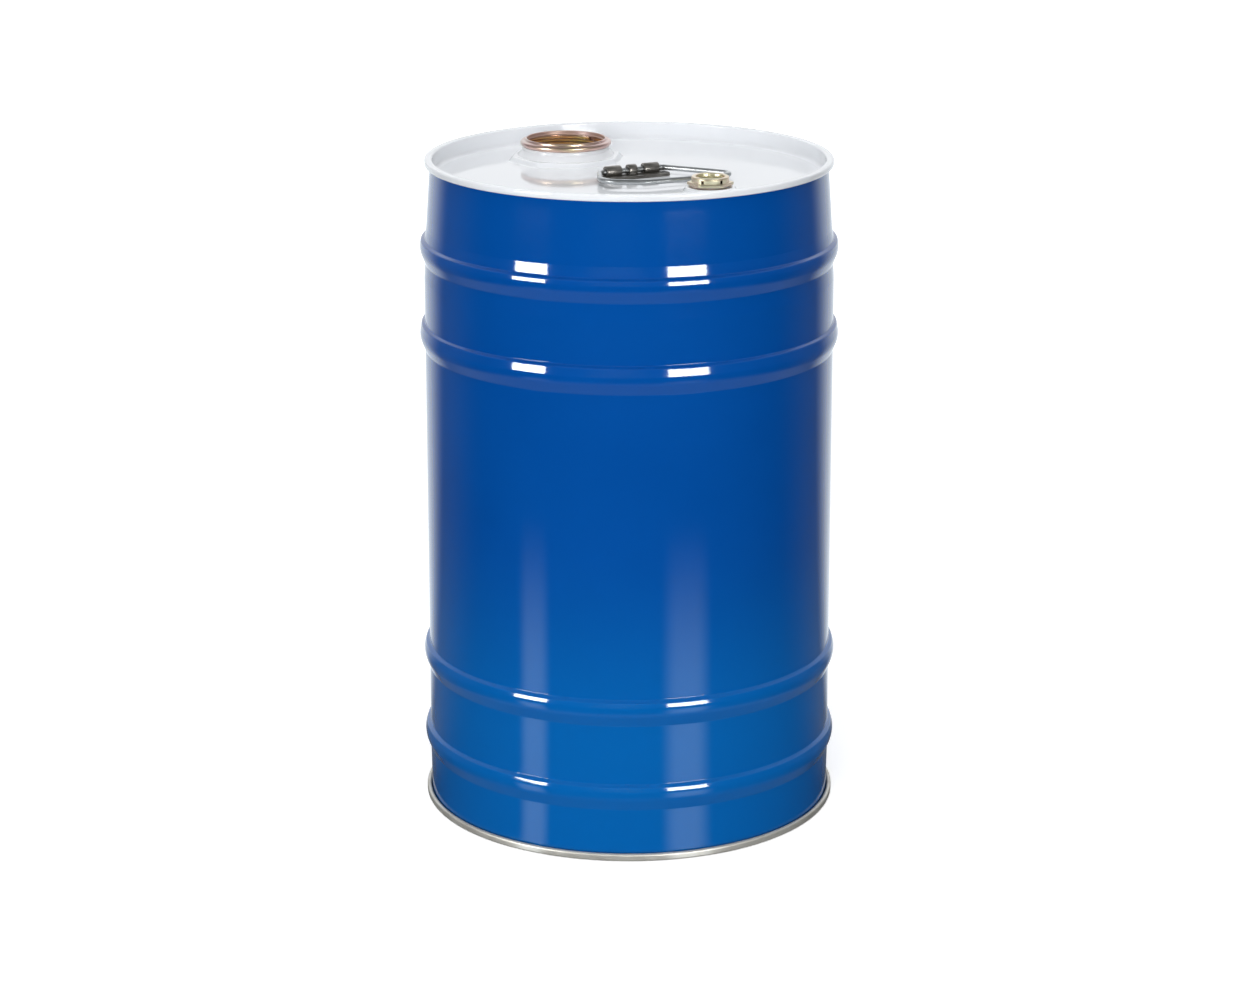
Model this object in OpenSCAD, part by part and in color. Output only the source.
// Tight-head steel drum, 30 litre class, with a necked-in top, four rolled beads,
// a 2 inch pouring flange, a 3/4 inch vent plug and a folding wire bail handle.
// Millimetres, +Z up. Origin: centre of the plane the bottom chime stands on.

/* [Shell] */
// Outside radius of the plain body wall
body_r = 150; // [149.5:0.5:151]
// Height from the floor to the top of the upper chime
drum_h = 485; // [475:5:495]
// Sheet thickness of body and heads
sheet = 0.9; // [0.8:0.05:0.9]
// How far the lowest rolled bead stands proud of the nominal wall
bead_h = 4; // [3.5:0.25:4.5]

/* [Heads] */
// Depth of the top head panel below the chime
recess = 12.7; // [11.5:0.1:13.5]
// Height of the bottom head panel above the floor
foot_recess = 10; // [8:0.5:14]

/* [Pouring closure] */
// Minor radius of the 2 inch parallel pipe thread (the bore wall)
bung_r = 28.33; // [28.2:0.01:28.45]
// Height of the octagonal seat pressed into the head
seat_h = 3.5; // [3:0.1:3.8]

/* [Vent closure] */
// Minor radius of the 3/4 inch parallel pipe thread (the bore wall)
vent_r = 12.06; // [11.9:0.02:12.2]
// Radial running clearance of the plug in its flange
vent_gap = 0.06; // [0.03:0.01:0.1]

/* [Handle] */
// Radius of the bail wire
wire_r = 2; // [1.8:0.05:2]
// Reach of the grip from the hinge axis
reach = 49.5; // [46:0.5:51]

/* [Hidden] */
$fn = 96;
half_sheet = sheet / 2;
head_z = drum_h - recess;       // top surface of the top head panel
top_shift = drum_h - 485;       // moves the upper wall with the drum height
seam_gap = 0.3;                 // filled with sealing compound

// places on the top head
bung_at = [-46.8, 57];
vent_at = [57.0, -66.3];
hinge_at = [1.6, -11.1];        // middle of the handle bracket
hinge_angle = 26;               // direction of the hinge axis from +X

compound_colour = "#6f6a5e";
flange_colour = "#c8a46a";
rubber_colour = "#2a2a2a";

// ---------------------------------------------------------------- paths
// A path is a list of [x, y, bend radius]; its two ends need no bend radius.
function unit(v) = v / norm(v);
function xy(point) = [point[0], point[1]];
function is_end(path, i) = i == 0 || i == len(path) - 1;

// bend at path point i: [centre, start angle, sweep, setback of the arc ends from the corner]
function bend(path, i) =
    let (corner = xy(path[i]), radius = path[i][2],
        back = unit(xy(path[i - 1]) - corner),
        ahead = unit(xy(path[i + 1]) - corner),
        half_angle = acos(max(-1, min(1, back * ahead))) / 2,
        setback = radius / tan(half_angle),
        centre = corner + unit(back + ahead) * radius / sin(half_angle),
        first = corner + back * setback - centre,
        last = corner + ahead * setback - centre,
        start = atan2(first[1], first[0]),
        end = atan2(last[1], last[0]))
    [centre, start, (end - start + 540) % 360 - 180, setback];

function arc_points(arc, radius, steps) = [for (k = [0:steps])
    let (angle = arc[1] + arc[2] * k / steps)
    arc[0] + radius * [cos(angle), sin(angle)]];

// plain points along a path, with every bend drawn in the given number of steps
function rounded(path, steps = 5) = [for (i = [0:len(path) - 1])
    each is_end(path, i) ? [xy(path[i])]
        : arc_points(bend(path, i), path[i][2], steps)];

function left_normal(a, b) = let (d = unit(b - a)) [-d[1], d[0]];

// line moved to its left by a distance, keeping the sides parallel
function shifted(line, distance) = [for (i = [0:len(line) - 1])
    let (before = i == 0 ? undef : left_normal(line[i - 1], line[i]),
        after = i == len(line) - 1 ? undef : left_normal(line[i], line[i + 1]),
        miter = is_end(line, i) ? undef : unit(before + after))
    line[i] + (i == 0 ? after * distance
        : i == len(line) - 1 ? before * distance
        : miter * distance / (miter * before))];

// outline of a sheet that follows a middle line
function strip(line, thickness) =
    let (far_side = shifted(line, -thickness / 2))
    concat(shifted(line, thickness / 2),
        [for (i = [len(line) - 1:-1:0]) far_side[i]]);

module revolved(line, thickness = sheet)
    rotate_extrude() polygon(strip(line, thickness));

module washer(height, outer_r, inner_r, cut_h = 3) difference() {
    cylinder(h = height, r = outer_r);
    translate([0, 0, -1]) cylinder(h = cut_h, r = inner_r);
}

module along_x(start, length, radius)
    translate([start, 0, 0]) rotate([0, 90, 0]) cylinder(h = length, r = radius);

module on_head(place) translate([place[0], place[1], head_z]) children();

// ---------------------------------------------------------------- seams
// Radius of the middle of a seam layer. From the inside out: -1 head wall, 0 body wall,
// 1 head hook, 2 body hook, 3 outer head layer.
function bottom_layer(n) = body_r - half_sheet + n * (sheet + seam_gap + 0.05);
function top_layer(n) = body_r - 6.25 + n * (sheet + seam_gap);
body_turn = half_sheet + seam_gap + sheet;  // chime edge to the middle of the body turn
compound_turn = sheet + seam_gap / 2;       // chime edge to the middle of the compound
bottom_hook_z = 5.15;                       // middle of the head hook turns
top_hook_z = drum_h - 4.55;

// ---------------------------------------------------------------- body
// Rolled beads: a rounded crest with a plain flank below, a short cone above it and a
// steep step back to the wall. Slopes are measured from the vertical.
crest_r = 10;                   // crest fillet above
flank_r = 14;                   // crest fillet below
flank_angle = 22;
// [height, crest past full bead height, wall below, wall above (both past body_r),
//  cone angle, height of the step above the crest, step angle]
beads = [
    [50.3, 0.05, 0.45, 0.2, 18, 5.6, 55],
    [114.3, -0.13, 0.15, -0.05, 18, 5.6, 55],
    [356.7 + top_shift, -1.1, -0.65, -0.75, 10.5, 7.4, 62],
    [421 + top_shift, -2, -1.6, -1.5, 9.5, 4.5, 68]];

function bead_path(bead) =
    let (z = bead[0], cone_angle = bead[4], step_angle = bead[6],
        peak_r = body_r + bead_h + bead[1],
        below_r = body_r + bead[2],
        above_r = body_r + bead[3],
        flank_z = z - flank_r * tan(flank_angle / 2),
        cone_z = z + 0.3 + crest_r * tan(cone_angle / 2),
        step_z = z + bead[5],
        step_r = peak_r - (step_z - cone_z) * tan(cone_angle))
    [[below_r, flank_z - (peak_r - below_r) / tan(flank_angle), 4],
     [peak_r, flank_z, flank_r],
     [peak_r, cone_z, crest_r],
     [step_r, step_z, 1.2],
     [above_r, step_z + (step_r - above_r) / tan(step_angle), 1.6]];

// outside of the wall; above the last bead it leans in and then necks to the seam
wall_outside = concat(
    [[body_r, 14]],
    bead_path(beads[0]), bead_path(beads[1]), bead_path(beads[2]),
    [[body_r - 0.85, 398 + top_shift, 20]],
    bead_path(beads[3]),
    [[body_r - 2.77, 434.8 + top_shift, 12], [body_r - 5.8, 477.5 + top_shift]]);
wall_line = [for (point = rounded(wall_outside, 4)) point - [half_sheet, 0]];

shell_line = concat(
    rounded([[bottom_layer(2), 4.4], [bottom_layer(2), body_turn, 1.2],
        [bottom_layer(0), body_turn, 1.2], [bottom_layer(0), 12]]),
    wall_line,
    rounded([[top_layer(0), drum_h - 7], [top_layer(0), drum_h - body_turn, 1.15],
        [top_layer(2), drum_h - body_turn, 1.15], [top_layer(2), drum_h - 3.8]]));

module body_shell() color("#0153a5") revolved(shell_line);

// lengthwise seam at the back (+Y), a thin strip on the outside of the wall
weld_arc = 1;                   // degrees
weld_offset = 0.15;             // middle of the weld outside the wall surface
weld_t = 0.28;
weld_line = shifted(concat([[bottom_layer(0), 9]], wall_line), -(half_sheet + weld_offset));

module side_seam_weld() color("#0a4d95")
    rotate([0, 0, 90 - weld_arc / 2])
        rotate_extrude(angle = weld_arc) polygon(strip(weld_line, weld_t));

// ---------------------------------------------------------------- heads
panel_bend = 4;                 // from the seam wall to the flat panel
bung_turn = 15.5;               // rotation of the octagons about the bung axis
boss_h = 3.3;                   // top of the vent boss

top_head_line = rounded([
    [top_layer(1), drum_h - 2.4], [top_layer(1), top_hook_z, 1.15],
    [top_layer(3), top_hook_z, 1.15], [top_layer(3), drum_h - half_sheet, 1.2],
    [top_layer(-1), drum_h - half_sheet, 1.2],
    [top_layer(-1), head_z - half_sheet, panel_bend], [0, head_z - half_sheet]]);
bottom_head_line = rounded([
    [bottom_layer(1), 2.4], [bottom_layer(1), bottom_hook_z, 1.2],
    [bottom_layer(3), bottom_hook_z, 1.2], [bottom_layer(3), half_sheet, 1.2],
    [bottom_layer(-1), half_sheet, 1.2],
    [bottom_layer(-1), foot_recess - half_sheet, panel_bend], [0, foot_recess - half_sheet]]);

// drawn collar that rises from the octagonal seat to under the flange bead
module bung_collar() revolved(rounded(
    [[37.3, seat_h - half_sheet], [35.8, seat_h - half_sheet, 1.5], [31.75, 7.4, 1.5],
     [31.75, 10.2]]));

// pressed boss under the rim of the vent flange
module vent_boss() revolved(rounded(
    [[20.6, -half_sheet], [19.2, -half_sheet, 1], [17.2, boss_h - half_sheet, 1.2],
     [14.6, boss_h - half_sheet]]));

module top_head() color("#e8ecf0") {
    difference() {
        union() {
            revolved(top_head_line);
            on_head(bung_at) rotate([0, 0, bung_turn]) translate([0, 0, -half_sheet])
                cylinder(h = seat_h + half_sheet, r1 = 44, r2 = 41, $fn = 8);
        }
        // hollow under the octagonal seat
        on_head(bung_at) rotate([0, 0, bung_turn]) translate([0, 0, -2])
            cylinder(h = 2 + seat_h - sheet, r1 = 44.2, r2 = 40.1, $fn = 8);
        // holes that the collar and the boss fill
        on_head(bung_at) cylinder(h = 40, r = 36.8, center = true);
        on_head(vent_at) cylinder(h = 20, r = 20, center = true);
    }
    on_head(bung_at) bung_collar();
    on_head(vent_at) vent_boss();
}

module bottom_head() color("#a0a099") revolved(bottom_head_line);

// sealing compound wraps the turned edge of the body, under the head's sheet
module top_seam_compound() color(compound_colour)
    revolved(rounded([
        [top_layer(-0.5), drum_h - 4], [top_layer(-0.5), drum_h - compound_turn, 1],
        [top_layer(2.5), drum_h - compound_turn, 1], [top_layer(2.5), drum_h - 3.2]]),
        seam_gap);
module bottom_seam_compound() color(compound_colour)
    revolved(rounded([
        [bottom_layer(-0.5), 4], [bottom_layer(-0.5), compound_turn, 1],
        [bottom_layer(2.5), compound_turn, 1], [bottom_layer(2.5), 4]]),
        seam_gap);

// ---------------------------------------------------------------- pouring closure
bung_plate_t = 1.8;
bung_neck_r = 31.2;
bung_top = 16;
bung_chamfer = 0.6;
bung_slot = [3.1, 6.5, 3.2];    // radial, across, height

module bung_flange() color(flange_colour) on_head(bung_at) difference() {
    union() {
        rotate([0, 0, bung_turn]) cylinder(h = bung_plate_t, r = 39.5, $fn = 8);
        // neck with a round bead outside
        rotate_extrude() {
            polygon([[bung_r - 1, 0], [bung_neck_r, 0], [bung_neck_r, 13.4], [30, 14.3],
                [30, 15.4], [29.4, bung_top], [bung_r - 1, bung_top]]);
            translate([31.6, 12.45]) circle(r = 2.05);
        }
    }
    translate([0, 0, -1]) cylinder(h = 18, r = bung_r);
    translate([0, 0, bung_top - bung_chamfer])
        cylinder(h = bung_chamfer + 0.01, r1 = bung_r, r2 = bung_r + bung_chamfer + 0.01);
    // shallow slot in the bore wall
    rotate([0, 0, 48]) translate([bung_r - 1, -bung_slot[1] / 2, 9.4]) cube(bung_slot);
}

module bung_flange_gasket() color(rubber_colour)
    on_head(bung_at) translate([0, 0, bung_plate_t])
        washer(seat_h - sheet - bung_plate_t, 36, bung_neck_r, cut_h = 4);

// ---------------------------------------------------------------- vent closure
// heights are from the top of the head panel
vent_plate_z = -3.3;
vent_plate_t = 1.6;
vent_neck_r = 14.4;
vent_neck_z = -7;
vent_top = 3.6;
plug_gasket_t = 0.7;
plug_z = vent_top + plug_gasket_t;  // underside of the hexagon
plug_slot = [3, 1.9, 2.4];          // radial, across, height

module vent_flange() color(flange_colour) on_head(vent_at) difference() {
    union() {
        translate([0, 0, vent_plate_z]) rotate([0, 0, 22.5])
            cylinder(h = vent_plate_t, r = 21, $fn = 8);
        translate([0, 0, vent_neck_z]) cylinder(h = vent_top - vent_neck_z, r = vent_neck_r);
        // rim on top of the boss
        rotate_extrude() polygon([[14, boss_h], [15.2, boss_h], [15.3, 3.4], [15.3, 3.5],
            [15.2, vent_top], [14, vent_top]]);
    }
    translate([0, 0, -8]) cylinder(h = 12, r = vent_r);
}

module vent_flange_gasket() color(rubber_colour)
    on_head(vent_at) translate([0, 0, vent_plate_z + vent_plate_t])
        washer(0.8, 19, vent_neck_r);

module vent_plug() color("#d8cf9a") on_head(vent_at) difference() {
    union() {
        translate([0, 0, plug_z]) cylinder(h = 2.3, r = 16.7, $fn = 6);
        // round top with a groove and a lip
        rotate_extrude() polygon([[0, plug_z], [13.3, plug_z], [13.3, 9.3], [12.95, 9.5],
            [13.3, 9.7], [13.3, 10.1], [12.7, 10.7], [0, 10.7]]);
        // shank in the flange bore
        translate([0, 0, -6.5]) cylinder(h = 11, r = vent_r - vent_gap);
    }
    // pockets from above and below leave a web between them
    translate([0, 0, 4.9]) cylinder(h = 7, r = 10.2);
    translate([0, 0, -7]) cylinder(h = 10.3, r = 9.6);
    // a slot near each corner of the hexagon
    for (k = [0:5]) rotate([0, 0, 4.5 + 60 * k])
        translate([12, -plug_slot[1] / 2, 6.7]) cube(plug_slot);
}

module vent_plug_gasket() color("#e9e6da")
    on_head(vent_at) translate([0, 0, vent_top]) washer(plug_gasket_t, 14.2, 12.3);

// ---------------------------------------------------------------- carrying handle
// In the hinge frame X runs along the hinge axis.
hinge_rise = 4.4;               // hinge axis above the head
plate_t = 2;
plate_x = [-23, 27];            // ends of the bracket plate
plate_y = 12;                   // half its width
plate_corner = 5;
loop_r = 4.25;
// loops round the wire: [start, length, y of the opening beside it]
loops = [[-21, 12, 3.2], [-3.25, 6.5, -7.8], [9, 12, 3.2]];
opening_w = 4.6;

module at_hinge(rise) on_head(hinge_at)
    translate([0, 0, rise]) rotate([0, 0, hinge_angle]) children();

module bracket_plate() {
    left = plate_x[0];
    length = plate_x[1] - left;
    inner_x = [left + plate_corner, plate_x[1] - plate_corner];
    inner_y = plate_y - plate_corner;
    for (x = inner_x, y = [-inner_y, inner_y])
        translate([x, y, 0]) cylinder(h = plate_t, r = plate_corner);
    translate([inner_x[0], -plate_y, 0])
        cube([length - 2 * plate_corner, 2 * plate_y, plate_t]);
    translate([left, -inner_y, 0]) cube([length, 2 * inner_y, plate_t]);
}

module handle_bracket() color("#4a4744") at_hinge(0) difference() {
    union() {
        bracket_plate();
        translate([0, 0, hinge_rise])
            for (loop = loops) along_x(loop[0], loop[1], loop_r);
    }
    translate([0, 0, hinge_rise]) along_x(-30, 60, wire_r + 0.1);
    // openings left where the loops were curled up out of the plate
    for (loop = loops)
        translate([loop[0], loop[2], -1]) cube([loop[1], opening_w, 4]);
}

module bracket_welds() color("#7a766f") at_hinge(plate_t)
    for (x = [-18.5, 18.5], y = [-9.2, 9.8])
        translate([x, y, 0]) cylinder(h = 0.3, r = 1.8);

// hand-bent loop, a little out of square: the +X shoulder stands further out
bail_path = [[-1, 0], [-25.5, 0, 5], [-39.5, -(reach - 18.5), 15],
    [-12, -(reach - 2.5), 24], [47, -reach, 14], [60.5, -(reach - 5.5), 6.5],
    [25.5, 0, 5], [1, 0]];
wire_overlap = 0.05;            // straight lengths run this far into the bends

function setback(path, i) = is_end(path, i) ? 0 : bend(path, i)[3];

// round wire along a path
module wire(path, radius) {
    for (i = [0:len(path) - 2])
        let (a = xy(path[i]), b = xy(path[i + 1]), along = unit(b - a),
            start = a + along * (setback(path, i) - wire_overlap),
            end = b - along * (setback(path, i + 1) - wire_overlap))
        translate([start[0], start[1], 0]) rotate([0, 0, atan2(along[1], along[0])])
            along_x(0, norm(end - start), radius);
    for (i = [1:len(path) - 2])
        let (arc = bend(path, i), centre = arc[0], sweep = arc[2])
        translate([centre[0], centre[1], 0]) rotate([0, 0, arc[1] + min(0, sweep)])
            rotate_extrude(angle = abs(sweep))
                translate([path[i][2], 0]) circle(r = radius + 0.01);
}

module bail_handle() color("#b9bcc0") at_hinge(hinge_rise) wire(bail_path, wire_r);

body_shell();
side_seam_weld();
top_head();
bottom_head();
top_seam_compound();
bottom_seam_compound();
bung_flange();
bung_flange_gasket();
vent_flange();
vent_flange_gasket();
vent_plug();
vent_plug_gasket();
handle_bracket();
bracket_welds();
bail_handle();
